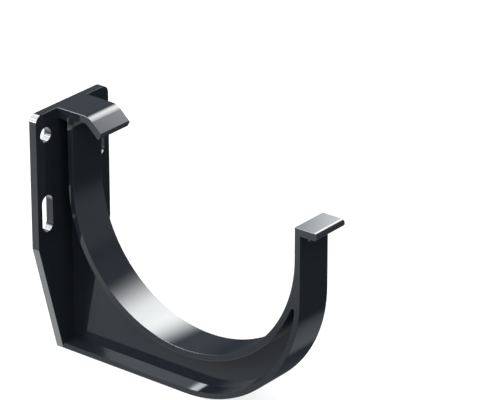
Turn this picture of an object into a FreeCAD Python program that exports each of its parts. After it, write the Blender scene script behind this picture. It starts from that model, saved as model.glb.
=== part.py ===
import FreeCAD, Part
import Sketcher
import os

# Fascia bracket for a half-round gutter, moulded in one piece, in millimetres.
# X runs along the wall, Y towards it, so the cradle reaches out along -Y, and Z is up.
# In the sheets a reach is a distance out from the wall and a height is above the underside.

SIZES = [
    ("plate_width", "40.0", "wall plate, across its upper part"),
    ("plate_height", "97.0", "wall plate, underside to top edge"),
    ("plate_thickness", "3.2", "wall plate"),
    ("plate_corner", "3.2", "radius of the two top corners"),
    ("taper_height", "44.2", "height at which the plate starts to narrow"),
    ("band_width", "16.0", "width of the cradle, the hook and the lip"),
    ("band_thickness", "2.4", "cradle wall under the gutter, and the front arm"),
    ("web_thickness", "3.2", "middle wall between cradle and outer flange"),
    ("plate_gap", "4.4", "plate front to the back of the cradle"),
    ("seat_radius", "50.7", "half-round seat that the gutter lies in"),
    ("seat_height", "17.6", "lowest point of the seat above the underside"),
    ("arm_rise", "12.2", "front arm above the centre of the seat"),
    ("flange_thickness", "2.2", "outer flange"),
    ("flange_radius", "52.4", "outer flange, outside of its bend"),
    ("lip_reach", "7.3", "lip beyond the front arm"),
    ("lip_thickness", "2.8", "lip"),
    ("rib_reach", "3.4", "front arm to the drip rib under the lip"),
    ("rib_width", "1.0", "drip rib"),
    ("rib_depth", "0.7", "drip rib below the lip"),
    ("tongue_thickness", "2.8", "tongue and hook over the gutter's back edge"),
    ("tongue_root", "4.2", "tongue where it joins the plate"),
    ("tongue_reach", "7.7", "seat's back face to the bend of the hook"),
    ("hook_length", "8.2", "bend of the hook to its tip"),
    ("hook_slope", "42.0", "fall of the hook in degrees"),
    ("hook_end", "60.0", "end face of the hook, degrees from level"),
    ("bend_radius", "3.2", "inside of the hook's bend"),
    ("arch_radius", "4.2", "between the seat's back face and the tongue"),
    ("hole_diameter", "5.7", "round fixing hole"),
    ("hole_drop", "8.4", "top edge to the centre of the round hole"),
    ("slot_width", "5.7", "upright fixing slots"),
    ("slot_length", "14.4", "upright fixing slots, end to end"),
    ("near_slot_drop", "39.6", "top edge to the centre of the slot under the round hole"),
    ("far_slot_drop", "19.4", "top edge to the centre of the slot on the other side"),
    ("near_offset", "14.8", "round hole and the slot under it, from the middle plane"),
    ("far_offset", "14.4", "slot on the other side, from the middle plane"),
    ("tip_round", "0.7", "rounding of the hook's tip"),
    ("recess_round", "0.75", "end of the recess where flange and cradle meet"),
    ("edge_round", "0.1", "rounding of the outer edges"),
]

PLACES = [
    ("half_plate", "sizes.plate_width / 2"),
    ("half_band", "sizes.band_width / 2"),
    ("corner_across", "half_plate - sizes.plate_corner"),
    ("corner_up", "sizes.plate_height - sizes.plate_corner"),
    ("plate_middle", "sizes.plate_thickness / 2"),
    ("band_back", "sizes.plate_thickness + sizes.plate_gap"),
    ("seat_back", "band_back + sizes.band_thickness"),
    ("seat_middle", "seat_back + sizes.seat_radius"),
    ("seat_front", "seat_middle + sizes.seat_radius"),
    ("seat_level", "sizes.seat_height + sizes.seat_radius"),
    ("arm_front", "seat_front + sizes.band_thickness"),
    ("arm_middle", "seat_front + sizes.band_thickness / 2"),
    ("arm_top", "seat_level + sizes.arm_rise"),
    ("band_radius", "sizes.seat_radius + sizes.band_thickness"),
    ("band_low", "sizes.seat_height - sizes.band_thickness"),
    ("core_radius", "sizes.seat_radius + sizes.band_thickness / 2"),
    ("core_low", "sizes.seat_height - sizes.band_thickness / 2"),
    ("core_back", "seat_back - sizes.band_thickness / 2"),
    ("flange_middle", "arm_front - sizes.flange_radius"),
    ("flange_inside", "sizes.flange_radius - sizes.flange_thickness"),
    ("flange_face", "arm_front - sizes.flange_thickness"),
    ("core_bend", "sizes.flange_radius - sizes.flange_thickness / 2"),
    ("core_face", "arm_front - sizes.flange_thickness / 2"),
    ("core_floor", "sizes.flange_thickness / 2"),
    ("recess_search", "seat_middle + sizes.seat_radius / 2"),
    ("tongue_under", "sizes.plate_height - sizes.tongue_thickness"),
    ("root_under", "sizes.plate_height - sizes.tongue_root"),
    ("root_middle", "sizes.plate_height - sizes.tongue_root / 2"),
    ("arch_start", "seat_back + sizes.arch_radius"),
    ("arch_foot", "tongue_under - sizes.arch_radius"),
    ("crest_radius", "sizes.bend_radius + sizes.tongue_thickness"),
    ("hook_corner", "seat_back + sizes.tongue_reach"),
    ("bend_start", "hook_corner - crest_radius * tan(sizes.hook_slope / 2)"),
    ("bend_level", "sizes.plate_height - crest_radius"),
    ("crest_reach", "bend_start + crest_radius * sin(sizes.hook_slope)"),
    ("crest_height", "bend_level + crest_radius * cos(sizes.hook_slope)"),
    ("inner_reach", "bend_start + sizes.bend_radius * sin(sizes.hook_slope)"),
    ("inner_height", "bend_level + sizes.bend_radius * cos(sizes.hook_slope)"),
    ("tip_reach", "hook_corner + sizes.hook_length * cos(sizes.hook_slope)"),
    ("tip_height", "sizes.plate_height - sizes.hook_length * sin(sizes.hook_slope)"),
    ("hook_end_length", "sizes.tongue_thickness / sin(sizes.hook_end + sizes.hook_slope)"),
    ("toe_reach", "tip_reach - hook_end_length * cos(sizes.hook_end)"),
    ("toe_height", "tip_height - hook_end_length * sin(sizes.hook_end)"),
    ("nose_radius", "sizes.lip_thickness / 2"),
    ("lip_front", "arm_front + sizes.lip_reach"),
    ("nose_reach", "lip_front - nose_radius"),
    ("nose_height", "arm_top - nose_radius"),
    ("lip_under", "arm_top - sizes.lip_thickness"),
    ("rib_back", "arm_front + sizes.rib_reach"),
    ("rib_front", "rib_back + sizes.rib_width"),
    ("rib_under", "lip_under - sizes.rib_depth"),
    ("hole_radius", "sizes.hole_diameter / 2"),
    ("slot_radius", "sizes.slot_width / 2"),
    ("near_slot_outer", "sizes.near_offset + slot_radius"),
    ("near_slot_inner", "sizes.near_offset - slot_radius"),
    ("far_slot_outer", "sizes.far_offset + slot_radius"),
    ("far_slot_inner", "sizes.far_offset - slot_radius"),
    ("slot_straight", "sizes.slot_length / 2 - slot_radius"),
    ("hole_height", "sizes.plate_height - sizes.hole_drop"),
    ("near_slot_height", "sizes.plate_height - sizes.near_slot_drop"),
    ("near_slot_high", "near_slot_height + slot_straight"),
    ("near_slot_low", "near_slot_height - slot_straight"),
    ("near_slot_top", "near_slot_height + sizes.slot_length / 2"),
    ("near_slot_foot", "near_slot_height - sizes.slot_length / 2"),
    ("far_slot_height", "sizes.plate_height - sizes.far_slot_drop"),
    ("far_slot_high", "far_slot_height + slot_straight"),
    ("far_slot_low", "far_slot_height - slot_straight"),
    ("far_slot_top", "far_slot_height + sizes.slot_length / 2"),
    ("far_slot_foot", "far_slot_height - sizes.slot_length / 2"),
]

doc = FreeCAD.newDocument("gutter_bracket")


def fill_sheet(name, rows):
    """Write one row of text, value and alias for each entry."""
    sheet = doc.addObject("Spreadsheet::Sheet", name)
    for line, row in enumerate(rows, start=1):
        sheet.set("A%d" % line, row[0])
        sheet.set("B%d" % line, row[1])
        sheet.setAlias("B%d" % line, row[0])
        if len(row) > 2:
            sheet.set("C%d" % line, row[2])
    doc.recompute()
    return sheet


sizes = fill_sheet("sizes", SIZES)
places = fill_sheet("places", [(name, "=" + rule) for name, rule in PLACES])


def known(name):
    """Return the sheet that holds a name and its present value."""
    sheet = sizes if name in [row[0] for row in SIZES] else places
    return sheet.Name, float(sheet.get(name))


def origin_plane(body, role):
    for feature in body.Origin.OriginFeatures:
        if feature.Role == role:
            return feature
    raise ValueError("the body has no plane " + role)


def new_sketch(body, name, role):
    sketch = body.newObject("Sketcher::SketchObject", name)
    sketch.AttachmentSupport = [(origin_plane(body, role), "")]
    sketch.MapMode = "FlatFace"
    return sketch


def bind(sketch, kind, place, value_name, sign):
    """Add one dimension to a sketch and tie it to its cell."""
    sheet, value = known(value_name)
    index = sketch.addConstraint(Sketcher.Constraint(kind, *place, sign * value))
    sketch.setExpression("Constraints[%d]" % index, "%s%s.%s" % ("-" if sign < 0 else "", sheet, value_name))


def coordinate(name):
    """Read a name with an optional minus sign; an empty name is zero."""
    sign = -1 if name.startswith("-") else 1
    name = name.lstrip("-")
    return name, sign, sign * known(name)[1] if name else 0.0


def arc_through(start, end, radius, turn):
    """Arc from start to end; turn 1 bends to the left of the chord, turn -1 to the right."""
    chord = end - start
    half = chord.Length / 2
    rise = max(radius * radius - half * half, 0.0) ** 0.5
    side = FreeCAD.Vector(-chord.y, chord.x, 0).normalize() * turn
    middle = (start + end) * 0.5 + side * rise
    top = middle - side * radius
    return Part.Arc(start, top, end)


def outline(body, name, role, corners, bends):
    """Closed profile through the corners; bends gives the radius and turn of its arcs.

    A corner is a pair of names, across and up. Straight edges join the corners, except
    where bends has the number of the edge's first corner.
    """
    sketch = new_sketch(body, name, role)
    points = [FreeCAD.Vector(coordinate(a)[2], coordinate(b)[2], 0) for a, b in corners]
    count = len(points)
    ends = []
    for i, start in enumerate(points):
        end = points[(i + 1) % count]
        if i in bends:
            radius_name, turn = bends[i]
            arc = arc_through(start, end, known(radius_name)[1], turn)
            index = sketch.addGeometry(arc, False)
            flipped = sketch.getPoint(index, 1).distanceToPoint(start) > 1e-4
            ends.append((index, 2, 1) if flipped else (index, 1, 2))
        else:
            ends.append((sketch.addGeometry(Part.LineSegment(start, end), False), 1, 2))
    for i in range(count):
        index, first, last = ends[i]
        following = ends[(i + 1) % count]
        sketch.addConstraint(Sketcher.Constraint("Coincident", index, last, following[0], following[1]))
        for kind, text in zip(("DistanceX", "DistanceY"), corners[i]):
            value_name, sign, value = coordinate(text)
            if value_name:
                bind(sketch, kind, (index, first), value_name, sign)
            else:
                axis = -2 if kind == "DistanceX" else -1
                sketch.addConstraint(Sketcher.Constraint("PointOnObject", index, first, axis))
        if i in bends:
            bind(sketch, "Radius", (index,), bends[i][0], 1)
    doc.recompute()
    return sketch


def check_step(feature, grows):
    """Stop unless the newest feature is sound and changed the volume the right way."""
    doc.recompute()
    body = feature.getParentGeoFeatureGroup()
    shape = feature.Shape
    if shape.isNull() or not shape.isValid() or "Invalid" in feature.State or "Error" in feature.State:
        raise RuntimeError(feature.Name + " is not sound")
    before = feature.BaseFeature.Shape.Volume if feature.BaseFeature else 0.0
    if (shape.Volume > before) != grows:
        raise RuntimeError(feature.Name + " changed the volume the wrong way")
    body.Tip = feature
    return feature


def pad(body, name, sketch, length_name, both_ways):
    feature = body.newObject("PartDesign::Pad", name)
    feature.Profile = sketch
    feature.SideType = "Symmetric" if both_ways else "One side"
    sheet, value = known(length_name)
    feature.Length = value
    feature.setExpression("Length", "%s.%s" % (sheet, length_name))
    return check_step(feature, True)


def cut_through_plate(body, name, sketch):
    """Cut the outline out of the plate, from its wall side to its front."""
    feature = body.newObject("PartDesign::Pocket", name)
    feature.Profile = sketch
    feature.Reversed = True
    feature.Length = known("plate_thickness")[1] * 1.5
    feature.setExpression("Length", "sizes.plate_thickness * 1.5")
    return check_step(feature, False)


def slot(body, name, side, turn):
    """Upright slot with round ends; side is a minus sign for the slot on -X."""
    outer, inner, middle = side + name + "_outer", side + name + "_inner", side + name.replace("slot", "offset")
    corners = [(outer, name + "_low"), (middle, name + "_foot"), (inner, name + "_low"),
               (inner, name + "_high"), (middle, name + "_top"), (outer, name + "_high")]
    bends = {edge: ("slot_radius", turn) for edge in (0, 1, 3, 4)}
    return cut_through_plate(body, name, outline(body, name + "_outline", "XZ_Plane", corners, bends))


def round_hole(body, name, across, up):
    sketch = new_sketch(body, name + "_outline", "XZ_Plane")
    centre = FreeCAD.Vector(coordinate(across)[2], coordinate(up)[2], 0)
    circle = Part.Circle(centre, FreeCAD.Vector(0, 0, 1), known("hole_radius")[1])
    index = sketch.addGeometry(circle, False)
    for kind, text in (("DistanceX", across), ("DistanceY", up)):
        value_name, sign, value = coordinate(text)
        bind(sketch, kind, (index, 3), value_name, sign)
    bind(sketch, "Radius", (index,), "hole_radius", 1)
    doc.recompute()
    return cut_through_plate(body, name, sketch)


def straight_across(edge):
    """True for an edge that runs along X."""
    ends = [vertex.Point for vertex in edge.Vertexes]
    return len(ends) == 2 and abs(ends[0].y - ends[1].y) + abs(ends[0].z - ends[1].z) < 1e-6


def pick_edges(shape, test):
    return ["Edge%d" % (i + 1) for i, edge in enumerate(shape.Edges) if test(edge)]


def outward_corner(shape, edge):
    """True where the material lies inside the corner, so that it can be rounded off."""
    point = edge.valueAt((edge.FirstParameter + edge.LastParameter) / 2)
    faces = shape.ancestorsOfType(edge, Part.Face)
    normals = [face.normalAt(*face.Surface.parameter(point)) for face in faces]
    if len(normals) != 2 or normals[0].cross(normals[1]).Length < 0.05:
        return False
    step = (normals[0] - normals[1]).normalize() * 0.05
    return not shape.isInside(point + step, 1e-6, True) and not shape.isInside(point - step, 1e-6, True)


def spots(edge):
    return [vertex.Point for vertex in edge.Vertexes] + [edge.CenterOfMass]


def plate_edges(shape):
    """The plate's front outline on both sides of the cradle."""
    front = known("plate_thickness")[1]
    side = known("half_band")[1] - 1e-3
    return pick_edges(shape, lambda edge: all(abs(spot.y + front) < 1e-6 for spot in spots(edge))
                      and abs(edge.CenterOfMass.x) > side and outward_corner(shape, edge))


def cradle_edges(shape):
    """Both side outlines of the cradle, hook, flange and lip, and the arm's and rib's own corners."""
    front = known("plate_thickness")[1] + 1e-3
    side = known("half_band")[1]
    across = known("band_width")[1]

    def wanted(edge):
        if edge.CenterOfMass.y > -front:
            return False
        in_side = all(abs(abs(spot.x) - side) < 1e-6 for spot in spots(edge))
        crossing = straight_across(edge) and abs(edge.Length - across) < 1e-3
        return (in_side or crossing) and outward_corner(shape, edge)
    return pick_edges(shape, wanted)


def fillet(body, name, edges, radius_name):
    base = body.Tip
    feature = body.newObject("PartDesign::Fillet", name)
    feature.Base = (base, edges)
    sheet, feature.Radius = known(radius_name)
    feature.setExpression("Radius", "%s.%s" % (sheet, radius_name))
    doc.recompute()
    if not edges or feature.Shape.isNull() or not feature.Shape.isValid() or "Invalid" in feature.State:
        raise RuntimeError(name + " is not sound")
    body.Tip = feature
    return feature


def at_tip(edge):
    """The two edges of the hook's end face."""
    point = edge.CenterOfMass
    corners = [("tip_reach", "tip_height"), ("toe_reach", "toe_height")]
    return straight_across(edge) and any(
        abs(point.y + known(reach)[1]) + abs(point.z - known(height)[1]) < 1e-3 for reach, height in corners)


def at_recess_end(edge):
    """Where the outer flange runs into the cradle, on both sides of the web."""
    point = edge.CenterOfMass
    return (straight_across(edge) and abs(point.x) > known("web_thickness")[1] / 2
            and -point.y > known("recess_search")[1]
            and known("seat_height")[1] < point.z < known("seat_level")[1])


def build_bracket():
    body = doc.addObject("PartDesign::Body", "gutter_bracket")
    body.Label = "gutter_bracket"
    pad(body, "plate", outline(body, "plate_outline", "XZ_Plane", [
        ("-half_band", ""), ("half_band", ""), ("half_plate", "taper_height"), ("half_plate", "corner_up"),
        ("corner_across", "plate_height"), ("-corner_across", "plate_height"),
        ("-half_plate", "corner_up"), ("-half_plate", "taper_height")],
        {3: ("plate_corner", 1), 5: ("plate_corner", 1)}), "plate_thickness", False)
    pad(body, "flange", outline(body, "flange_outline", "YZ_Plane", [
        ("-plate_middle", ""), ("-flange_middle", ""), ("-arm_front", "flange_radius"),
        ("-arm_front", "seat_level"), ("-arm_middle", "seat_level"), ("-flange_face", "flange_radius"),
        ("-flange_middle", "flange_thickness"), ("-plate_middle", "flange_thickness")],
        {1: ("flange_radius", -1), 5: ("flange_inside", 1)}), "band_width", True)
    pad(body, "cradle", outline(body, "cradle_outline", "YZ_Plane", [
        ("-seat_back", "root_middle"), ("-seat_back", "seat_level"), ("-seat_middle", "seat_height"),
        ("-seat_front", "seat_level"), ("-seat_front", "arm_top"), ("-arm_front", "arm_top"),
        ("-arm_front", "seat_level"), ("-seat_middle", "band_low"), ("-band_back", "seat_level"),
        ("-band_back", "root_middle")],
        {1: ("seat_radius", -1), 2: ("seat_radius", -1), 6: ("band_radius", 1), 7: ("band_radius", 1)}),
        "band_width", True)
    pad(body, "hook", outline(body, "hook_outline", "YZ_Plane", [
        ("-plate_middle", "plate_height"), ("-bend_start", "plate_height"), ("-crest_reach", "crest_height"),
        ("-tip_reach", "tip_height"), ("-toe_reach", "toe_height"), ("-inner_reach", "inner_height"),
        ("-bend_start", "tongue_under"), ("-arch_start", "tongue_under"), ("-seat_back", "arch_foot"),
        ("-band_back", "arch_foot"), ("-band_back", "root_under"), ("-plate_middle", "root_under")],
        {1: ("crest_radius", 1), 5: ("bend_radius", -1), 7: ("arch_radius", -1)}), "band_width", True)
    pad(body, "lip", outline(body, "lip_outline", "YZ_Plane", [
        ("-arm_middle", "arm_top"), ("-nose_reach", "arm_top"), ("-lip_front", "nose_height"),
        ("-nose_reach", "lip_under"), ("-rib_front", "lip_under"), ("-rib_front", "rib_under"),
        ("-rib_back", "rib_under"), ("-rib_back", "lip_under"), ("-arm_middle", "lip_under")],
        {1: ("nose_radius", 1), 2: ("nose_radius", 1)}), "band_width", True)
    pad(body, "web", outline(body, "web_outline", "YZ_Plane", [
        ("-plate_middle", "core_floor"), ("-flange_middle", "core_floor"), ("-core_face", "flange_radius"),
        ("-arm_middle", "seat_level"), ("-seat_middle", "core_low"), ("-core_back", "seat_level"),
        ("-core_back", "root_middle"), ("-plate_middle", "root_middle")],
        {1: ("core_bend", -1), 3: ("core_radius", 1), 4: ("core_radius", 1)}), "web_thickness", True)
    fillet(body, "tip_rounding", pick_edges(body.Tip.Shape, at_tip), "tip_round")
    fillet(body, "recess_rounding", pick_edges(body.Tip.Shape, at_recess_end), "recess_round")
    fillet(body, "plate_rounding", plate_edges(body.Tip.Shape), "edge_round")
    fillet(body, "cradle_rounding", cradle_edges(body.Tip.Shape), "edge_round")
    round_hole(body, "near_hole", "-near_offset", "hole_height")
    slot(body, "near_slot", "-", 1)
    slot(body, "far_slot", "", -1)
    body.setExpression("Placement.Base.z", "-sizes.plate_height / 2")
    doc.recompute()
    return body


def check_result(body):
    """Stop unless every feature is sound and the body is one closed solid."""
    for item in doc.Objects:
        if "Invalid" in item.State or "Error" in item.State:
            raise RuntimeError(item.Name + " is not sound")
    shape = body.Shape
    if shape.isNull() or not shape.isValid() or len(shape.Solids) != 1:
        raise RuntimeError("the bracket is not one sound solid")
    return shape


bracket = check_result(build_bracket())
print("volume", bracket.Volume, "box", bracket.BoundBox)
os.makedirs("parts", exist_ok=True)
bracket.exportStep("parts/gutter_bracket.step")
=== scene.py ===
import math
import bpy
from mathutils import Matrix, Vector


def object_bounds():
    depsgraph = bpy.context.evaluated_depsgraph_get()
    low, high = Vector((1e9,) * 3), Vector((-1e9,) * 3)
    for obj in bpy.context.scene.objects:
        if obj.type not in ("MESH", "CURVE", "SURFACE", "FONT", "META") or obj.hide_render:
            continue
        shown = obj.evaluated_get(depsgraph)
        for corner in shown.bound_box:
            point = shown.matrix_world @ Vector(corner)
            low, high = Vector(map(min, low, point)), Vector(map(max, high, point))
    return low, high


# A gutter bracket moulded in one piece of glossy near-black plastic. Its shape is the packed
# solid's; this script gives it its finish, the studio around it and the camera. Metres throughout.

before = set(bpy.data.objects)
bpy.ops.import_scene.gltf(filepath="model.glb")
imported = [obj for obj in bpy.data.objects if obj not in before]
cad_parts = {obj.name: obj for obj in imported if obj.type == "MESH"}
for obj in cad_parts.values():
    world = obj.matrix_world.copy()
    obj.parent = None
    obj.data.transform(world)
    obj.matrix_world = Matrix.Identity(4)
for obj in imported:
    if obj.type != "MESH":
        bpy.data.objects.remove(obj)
cad_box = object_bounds()
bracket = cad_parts["gutter_bracket"]
underside = cad_box[0].z

# Camera: where the photograph was taken from and its focal length in the photograph's pixels.
# The azimuth is counted from -Y towards +X, in degrees.
PHOTO_WIDTH = 500
FOCAL_PIXELS = 3509.56
SENSOR_WIDTH = 36.0
AZIMUTH = -51.568
ELEVATION = 24.402
CAMERA_PLACE = (-0.878275, -0.782314, 0.540826)
NEAREST_SEEN = 0.05
FARTHEST_SEEN = 50.0

# Plastic: two close shades of its base colour, the range of its roughness, and the depth of
# the mould's grain with the share of it that shows.
SHADE_DARK = (0.0090, 0.0105, 0.0138, 1.0)
SHADE_LIGHT = (0.0105, 0.0122, 0.0156, 1.0)
SMOOTHEST = 0.030
ROUGHEST = 0.045
PLASTIC_IOR = 1.52
GRAIN_DEPTH = 0.00004
GRAIN_STRENGTH = 0.12

# The mix node's colour sockets, which share their names with others, by number.
MIX_COLOR_A = 6
MIX_COLOR_B = 7
MIX_COLOR_RESULT = 2

# Outer flange: its upper side falls this much for each metre away from the middle plane, and
# lies between these heights above the underside.
FLANGE_SLOPE = 0.047
FLANGE_LOW = 0.001
FLANGE_HIGH = 0.012

# Floor: half its width, and its paper's grey, roughness and glow.
FLOOR_REACH = 4.0
PAPER_GREY = (0.2, 0.2, 0.2, 1.0)
PAPER_ROUGHNESS = 0.9
PAPER_GLOW = 0.8
WHITE = (1.0, 1.0, 1.0, 1.0)

# Surroundings: their tint, the brightness at and under the horizon, and the rise above it up to
# the height whose sine is given.
COOL = (0.85, 1.0, 1.14)
LOW_LIGHT = 0.075
HIGH_LIGHT = 0.25
HIGH_SINE = 0.52

# Soft glows in the surroundings: azimuth and elevation, angle from there at which the glow ends,
# angle up to which it is full, and brightness. Azimuths here and below count from +Y towards +X.
GLOWS = [
    ((-27, -56), 39, 5, (2.58, 2.64, 2.66)),
    ((-46, -4), 17, 2, (1.00, 1.05, 1.10)),
    ((137, -1), 23, 0, (0.32, 0.34, 0.36)),
    ((104, -42), 14, 2, (0.34, 0.36, 0.38)),
    ((180, 0), 38, 8, (0.85, 0.90, 0.95)),
    ((-95, 4), 34, 8, (0.75, 0.80, 0.85)),
    ((90, 0), 34, 6, (0.75, 0.80, 0.85)),
    ((0, -4), 30, 6, (0.75, 0.80, 0.85)),
]

# Lamps. Each faces back from its azimuth and elevation, and stands that way at its distance from
# the origin, moved by its shift. Ovals have one share of their size over which they fade to the
# rim, and rectangles one across and one up. A reflected lamp shows in reflections only, and the
# others only light the plastic's own shade.
NEUTRAL = (1.0, 1.0, 1.0)
SOFT_WHITE = (0.985, 1.0, 1.005)
BLUISH = (0.94, 0.99, 1.05)
LAMPS = [
    {"name": "right_lamp", "toward": (96.6, -6.3), "distance": 0.0, "shift": (0.3255, -0.0138, 0.2943),
     "half_width": 0.217, "half_height": 0.300, "oval": True, "fade": 0.82,
     "radiance": 13.4, "tint": SOFT_WHITE, "reflected": True},
    {"name": "left_lamp", "toward": (-52, 0), "distance": 0.227, "shift": (-0.0316, -0.0405, 0.262),
     "half_width": 0.058, "half_height": 0.190, "oval": False, "fade": (0.03, 0.08),
     "radiance": 9.8, "tint": BLUISH, "reflected": True},
    {"name": "upper_left_lamp", "toward": (-52, 0), "distance": 0.226, "shift": (-0.021, -0.027, 0.298),
     "half_width": 0.070, "half_height": 0.170, "oval": False, "fade": (0.2, 0.12),
     "radiance": 18.5, "tint": BLUISH, "reflected": True},
    {"name": "spot_lamp", "toward": (-52, 0), "distance": 0.225, "shift": (-0.0111, -0.0142, 0.081),
     "half_width": 0.0125, "half_height": 0.021, "oval": False, "fade": (0.5, 0.6),
     "radiance": 66.0, "tint": BLUISH, "reflected": True},
    {"name": "back_lamp", "toward": (-14, 53), "distance": 0.9, "shift": (0.0, 0.0, 0.0),
     "half_width": 0.68, "half_height": 0.48, "oval": True, "fade": 0.3,
     "radiance": 14.0, "tint": NEUTRAL, "reflected": True},
    {"name": "fill_lamp", "toward": (-128, 50), "distance": 1.8, "shift": (0.0, 0.0, 0.0),
     "half_width": 1.5, "half_height": 1.5, "oval": True, "fade": 0.3,
     "radiance": 3.3, "tint": NEUTRAL, "reflected": False},
    {"name": "rim_lamp", "toward": (-58, 30), "distance": 1.6, "shift": (0.0, 0.0, 0.0),
     "half_width": 0.4, "half_height": 0.5, "oval": True, "fade": 0.3,
     "radiance": 22.0, "tint": NEUTRAL, "reflected": False},
    {"name": "low_lamp", "toward": (-51.6, -24.4), "distance": 0.3, "shift": (-0.068, -0.057, 0.045),
     "half_width": 0.16, "half_height": 0.10, "oval": False, "fade": (0.6, 0.6),
     "radiance": 0.83, "tint": NEUTRAL, "reflected": True},
]


def direction(azimuth, elevation):
    """Unit vector at an angle from +Y towards +X and an angle above the floor, in degrees."""
    a, e = math.radians(azimuth), math.radians(elevation)
    return Vector((math.sin(a) * math.cos(e), math.cos(a) * math.cos(e), math.sin(e)))


def photo_camera():
    """Long lens at the photograph's viewing angle, with its framing."""
    data = bpy.data.cameras.new("photo_camera")
    data.sensor_width = SENSOR_WIDTH
    data.lens = FOCAL_PIXELS / PHOTO_WIDTH * SENSOR_WIDTH
    data.clip_start = NEAREST_SEEN
    data.clip_end = FARTHEST_SEEN
    camera = bpy.data.objects.new("photo_camera", data)
    bpy.context.scene.collection.objects.link(camera)
    a, e = math.radians(AZIMUTH), math.radians(ELEVATION)
    back = Vector((math.sin(a) * math.cos(e), -math.cos(a) * math.cos(e), math.sin(e)))
    right = Vector((math.cos(a), math.sin(a), 0.0))
    turned = Matrix((right, back.cross(right), back)).transposed().to_4x4()
    camera.matrix_world = Matrix.Translation(CAMERA_PLACE) @ turned
    bpy.context.scene.camera = camera


def node(tree, kind, **settings):
    """New node of a kind, with its settings."""
    made = tree.nodes.new(kind)
    for name, value in settings.items():
        setattr(made, name, value)
    return made


def feed(tree, socket, value):
    """Link a socket to the value's socket, or set it to the plain value."""
    if isinstance(value, bpy.types.NodeSocket):
        tree.links.new(value, socket)
    else:
        socket.default_value = value


def math_node(tree, operation, *values):
    """Result of one operation on single numbers."""
    made = node(tree, "ShaderNodeMath", operation=operation)
    for socket, value in zip(made.inputs, values):
        feed(tree, socket, value)
    return made.outputs[0]


def vector_node(tree, operation, *values):
    """Result of one operation on vectors; a dot product and a length are single numbers."""
    made = node(tree, "ShaderNodeVectorMath", operation=operation)
    for socket, value in zip(made.inputs, values):
        feed(tree, socket, value)
    return made.outputs["Value" if operation in ("DOT_PRODUCT", "LENGTH") else "Vector"]


def split_vector(tree, value):
    """The X, Y and Z of a vector, by name."""
    made = node(tree, "ShaderNodeSeparateXYZ")
    tree.links.new(value, made.inputs["Vector"])
    return made.outputs


def map_range(tree, value, low, high, to_low=0.0, to_high=1.0, kind="LINEAR"):
    """The value between low and high, carried over to the other range and held at its ends."""
    made = node(tree, "ShaderNodeMapRange", interpolation_type=kind)
    for name, given in (("Value", value), ("From Min", low), ("From Max", high),
                        ("To Min", to_low), ("To Max", to_high)):
        feed(tree, made.inputs[name], given)
    return made.outputs["Result"]


def noise(tree, place, scale, detail, roughness, stretch=(1.0, 1.0, 1.0)):
    """Noise between 0 and 1 with its cells a scale-th of a metre, drawn out along an axis."""
    made = node(tree, "ShaderNodeTexNoise")
    tree.links.new(vector_node(tree, "MULTIPLY", place, stretch), made.inputs["Vector"])
    feed(tree, made.inputs["Scale"], scale)
    feed(tree, made.inputs["Detail"], detail)
    feed(tree, made.inputs["Roughness"], roughness)
    return made.outputs["Fac"]


def blend(tree, first, second, second_share):
    """Two values added, the second with its share and the first with the rest."""
    rest = math_node(tree, "MULTIPLY", first, 1.0 - second_share)
    return math_node(tree, "MULTIPLY_ADD", second, second_share, rest)


def new_group(name, inputs, outputs):
    """Empty shader group; inputs give name, kind and default, outputs name and kind."""
    tree = bpy.data.node_groups.new(name, "ShaderNodeTree")
    for title, kind, default in inputs:
        socket = tree.interface.new_socket(title, in_out="INPUT", socket_type=kind)
        if default is not None:
            socket.default_value = default
    for title, kind in outputs:
        tree.interface.new_socket(title, in_out="OUTPUT", socket_type=kind)
    return tree, node(tree, "NodeGroupInput").outputs, node(tree, "NodeGroupOutput").inputs


def moulding_grain():
    """Height of the mould's fine grain and of its slow unevenness, and a mask of the grain."""
    inputs = [
        ("Position", "NodeSocketVector", None),
        ("Grain Scale", "NodeSocketFloat", 2600.0),
        ("Ripple Scale", "NodeSocketFloat", 70.0),
        ("Ripple Share", "NodeSocketFloat", 0.6),
    ]
    outputs = [("Height", "NodeSocketFloat"), ("Grain", "NodeSocketFloat")]
    tree, given, out = new_group("moulding_grain", inputs, outputs)
    grain = noise(tree, given["Position"], given["Grain Scale"], detail=3.0, roughness=0.55)
    ripple = noise(tree, given["Position"], given["Ripple Scale"], detail=1.0, roughness=0.4)
    slow = math_node(tree, "MULTIPLY", ripple, given["Ripple Share"])
    fine = math_node(tree, "MULTIPLY", grain, math_node(tree, "SUBTRACT", 1.0, given["Ripple Share"]))
    tree.links.new(math_node(tree, "ADD", slow, fine), out["Height"])
    tree.links.new(grain, out["Grain"])
    return tree


def resin_shade():
    """Colour between two shades: broad clouds of pigment, with faint flow lines along the length."""
    inputs = [
        ("Position", "NodeSocketVector", None),
        ("Dark", "NodeSocketColor", (0.0, 0.0, 0.0, 1.0)),
        ("Light", "NodeSocketColor", (0.1, 0.1, 0.1, 1.0)),
        ("Cloud Scale", "NodeSocketFloat", 45.0),
        ("Flow Scale", "NodeSocketFloat", 420.0),
    ]
    tree, given, out = new_group("resin_shade", inputs, [("Color", "NodeSocketColor")])
    cloud = noise(tree, given["Position"], given["Cloud Scale"], detail=3.0, roughness=0.5)
    flow = noise(tree, given["Position"], given["Flow Scale"], detail=2.0, roughness=0.5,
                 stretch=(1.0, 0.12, 0.12))
    both = blend(tree, cloud, flow, second_share=0.3)
    mix = node(tree, "ShaderNodeMix", data_type="RGBA")
    feed(tree, mix.inputs["Factor"], map_range(tree, both, low=0.35, high=0.65))
    tree.links.new(given["Dark"], mix.inputs[MIX_COLOR_A])
    tree.links.new(given["Light"], mix.inputs[MIX_COLOR_B])
    tree.links.new(mix.outputs[MIX_COLOR_RESULT], out["Color"])
    return tree


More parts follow.
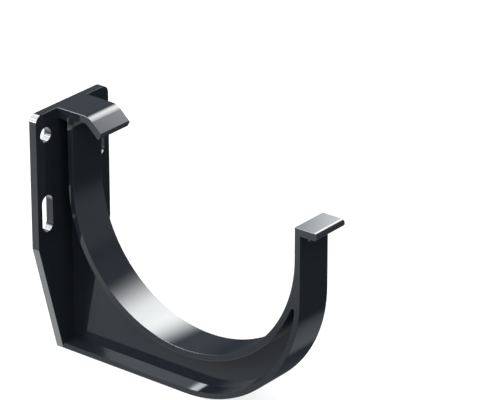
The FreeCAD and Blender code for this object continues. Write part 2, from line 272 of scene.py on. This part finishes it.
def handled_gloss():
    """Roughness between two values: broad patches from handling, with the grain's fine speckle."""
    inputs = [
        ("Position", "NodeSocketVector", None),
        ("Grain", "NodeSocketFloat", 0.5),
        ("Smoothest", "NodeSocketFloat", 0.1),
        ("Roughest", "NodeSocketFloat", 0.2),
        ("Patch Scale", "NodeSocketFloat", 60.0),
    ]
    tree, given, out = new_group("handled_gloss", inputs, [("Roughness", "NodeSocketFloat")])
    patch = noise(tree, given["Position"], given["Patch Scale"], detail=4.0, roughness=0.6)
    both = blend(tree, patch, given["Grain"], second_share=0.35)
    value = map_range(tree, both, low=0.3, high=0.7, to_low=given["Smoothest"], to_high=given["Roughest"])
    tree.links.new(value, out["Roughness"])
    return tree


def mould_slope():
    """Height of a drafted face: it falls away from the middle plane, on upper sides between two heights."""
    inputs = [
        ("Position", "NodeSocketVector", None),
        ("Facing", "NodeSocketVector", None),
        ("Slope", "NodeSocketFloat", 0.03),
        ("Low", "NodeSocketFloat", 0.0),
        ("High", "NodeSocketFloat", 0.01),
    ]
    tree, given, out = new_group("mould_slope", inputs, [("Height", "NodeSocketFloat")])
    place = split_vector(tree, given["Position"])
    facing = split_vector(tree, given["Facing"])
    above = math_node(tree, "GREATER_THAN", place["Z"], given["Low"])
    below = math_node(tree, "LESS_THAN", place["Z"], given["High"])
    upward = map_range(tree, facing["Z"], low=0.6, high=0.95)
    mask = math_node(tree, "MULTIPLY", math_node(tree, "MULTIPLY", above, below), upward)
    fall = math_node(tree, "MULTIPLY", math_node(tree, "ABSOLUTE", place["X"]), given["Slope"])
    height = math_node(tree, "MULTIPLY", math_node(tree, "MULTIPLY", fall, -1.0), mask)
    tree.links.new(height, out["Height"])
    return tree


def place_group(tree, group, **values):
    """Put a group in a material and give it the values of its inputs, by name."""
    made = node(tree, "ShaderNodeGroup", node_tree=group)
    for name, value in values.items():
        feed(tree, made.inputs[name], value)
    return made.outputs


def raised(tree, height, strength, distance):
    """Bump node for a height, which is in units of the distance."""
    made = node(tree, "ShaderNodeBump")
    made.inputs["Strength"].default_value = strength
    made.inputs["Distance"].default_value = distance
    tree.links.new(height, made.inputs["Height"])
    return made


def glossy_plastic():
    """Near-black moulded plastic, glossy, with a slightly uneven skin."""
    material = bpy.data.materials.new("glossy_plastic")
    material.use_nodes = True
    tree = material.node_tree
    shader = tree.nodes["Principled BSDF"]
    place = node(tree, "ShaderNodeTexCoord").outputs["Object"]
    facing = node(tree, "ShaderNodeTexCoord").outputs["Normal"]
    shade = place_group(tree, resin_shade(), Position=place, Dark=SHADE_DARK, Light=SHADE_LIGHT)
    grain = place_group(tree, moulding_grain(), Position=place)
    gloss = place_group(tree, handled_gloss(), Position=place, Grain=grain["Grain"],
                        Smoothest=SMOOTHEST, Roughest=ROUGHEST)
    slope = place_group(tree, mould_slope(), Position=place, Facing=facing, Slope=FLANGE_SLOPE,
                        Low=underside + FLANGE_LOW, High=underside + FLANGE_HIGH)
    drafted = raised(tree, slope["Height"], strength=1.0, distance=1.0)
    skin = raised(tree, grain["Height"], strength=GRAIN_STRENGTH, distance=GRAIN_DEPTH)
    tree.links.new(drafted.outputs["Normal"], skin.inputs["Normal"])
    tree.links.new(shade["Color"], shader.inputs["Base Color"])
    tree.links.new(gloss["Roughness"], shader.inputs["Roughness"])
    tree.links.new(skin.outputs["Normal"], shader.inputs["Normal"])
    shader.inputs["IOR"].default_value = PLASTIC_IOR
    return material


def floor():
    """White paper under the bracket; reflections and the light from below pass through it."""
    corners = [(x * FLOOR_REACH, y * FLOOR_REACH, underside) for x, y in ((-1, -1), (1, -1), (1, 1), (-1, 1))]
    data = bpy.data.meshes.new("floor")
    data.from_pydata(corners, [], [(0, 1, 2, 3)])
    piece = bpy.data.objects.new("floor", data)
    bpy.context.scene.collection.objects.link(piece)
    material = bpy.data.materials.new("floor_paper")
    material.use_nodes = True
    shader = material.node_tree.nodes["Principled BSDF"]
    shader.inputs["Base Color"].default_value = PAPER_GREY
    shader.inputs["Roughness"].default_value = PAPER_ROUGHNESS
    shader.inputs["Emission Color"].default_value = WHITE
    shader.inputs["Emission Strength"].default_value = PAPER_GLOW
    data.materials.append(material)
    piece.visible_glossy = False
    piece.visible_diffuse = False
    piece.visible_shadow = False


def rim_fade(tree, distance, share):
    """One inside a lamp, falling softly to zero at its rim over the share of its size."""
    return map_range(tree, distance, 1.0, 1.0 - share, kind="SMOOTHSTEP")


def soft_lamp(name, toward, distance, shift, half_width, half_height, oval, fade, radiance, tint, reflected):
    """Studio lamp that fades to its rim, seen in reflections only or lighting only."""
    lamp = bpy.data.lights.new(name, "AREA")
    lamp.shape = "ELLIPSE" if oval else "RECTANGLE"
    lamp.size = 2 * half_width
    lamp.size_y = 2 * half_height
    lamp.color = tint
    area = half_width * half_height * (math.pi if oval else 4.0)
    lamp.energy = radiance * math.pi * area
    lamp.use_nodes = True
    tree = lamp.node_tree
    across = node(tree, "ShaderNodeNewGeometry").outputs["Parametric"]
    centred = vector_node(tree, "SUBTRACT", across, (0.5, 0.5, 0.0))
    spread = vector_node(tree, "ABSOLUTE", vector_node(tree, "MULTIPLY", centred, (2.0, 2.0, 0.0)))
    if oval:
        strength = rim_fade(tree, vector_node(tree, "LENGTH", spread), fade)
    else:
        sides = split_vector(tree, spread)
        strength = math_node(tree, "MULTIPLY", rim_fade(tree, sides["X"], fade[0]),
                             rim_fade(tree, sides["Y"], fade[1]))
    tree.links.new(strength, tree.nodes["Emission"].inputs["Strength"])
    piece = bpy.data.objects.new(name, lamp)
    away = direction(*toward)
    turned = away.to_track_quat("Z", "Y").to_matrix().to_4x4()
    piece.matrix_world = Matrix.Translation(away * distance + Vector(shift)) @ turned
    piece.visible_camera = False
    piece.visible_glossy = reflected
    piece.visible_diffuse = not reflected
    bpy.context.scene.collection.objects.link(piece)


def surroundings():
    """Soft light from all sides: cool, dim below, brighter above, with glows; white to the camera."""
    world = bpy.data.worlds.new("studio")
    world.use_nodes = True
    tree = world.node_tree
    looking = node(tree, "ShaderNodeTexCoord").outputs["Generated"]
    height = split_vector(tree, looking)["Z"]
    rise = map_range(tree, height, 0.0, HIGH_SINE, LOW_LIGHT, LOW_LIGHT + HIGH_LIGHT, "SMOOTHSTEP")
    total = vector_node(tree, "MULTIPLY", rise, COOL)
    for place, outer, inner, strength in GLOWS:
        along = vector_node(tree, "DOT_PRODUCT", looking, tuple(direction(*place)))
        near = map_range(tree, along, math.cos(math.radians(outer)), math.cos(math.radians(inner)),
                         kind="SMOOTHSTEP")
        total = vector_node(tree, "MULTIPLY_ADD", near, strength, total)
    seen = node(tree, "ShaderNodeLightPath").outputs["Is Camera Ray"]
    background = tree.nodes["Background"]
    tree.links.new(vector_node(tree, "MAXIMUM", total, seen), background.inputs["Color"])
    background.inputs["Strength"].default_value = 1.0
    bpy.context.scene.world = world


photo_camera()
floor()
surroundings()
for settings in LAMPS:
    soft_lamp(**settings)
bracket.material_slots[0].material = glossy_plastic()
bpy.context.scene.view_settings.view_transform = "Standard"
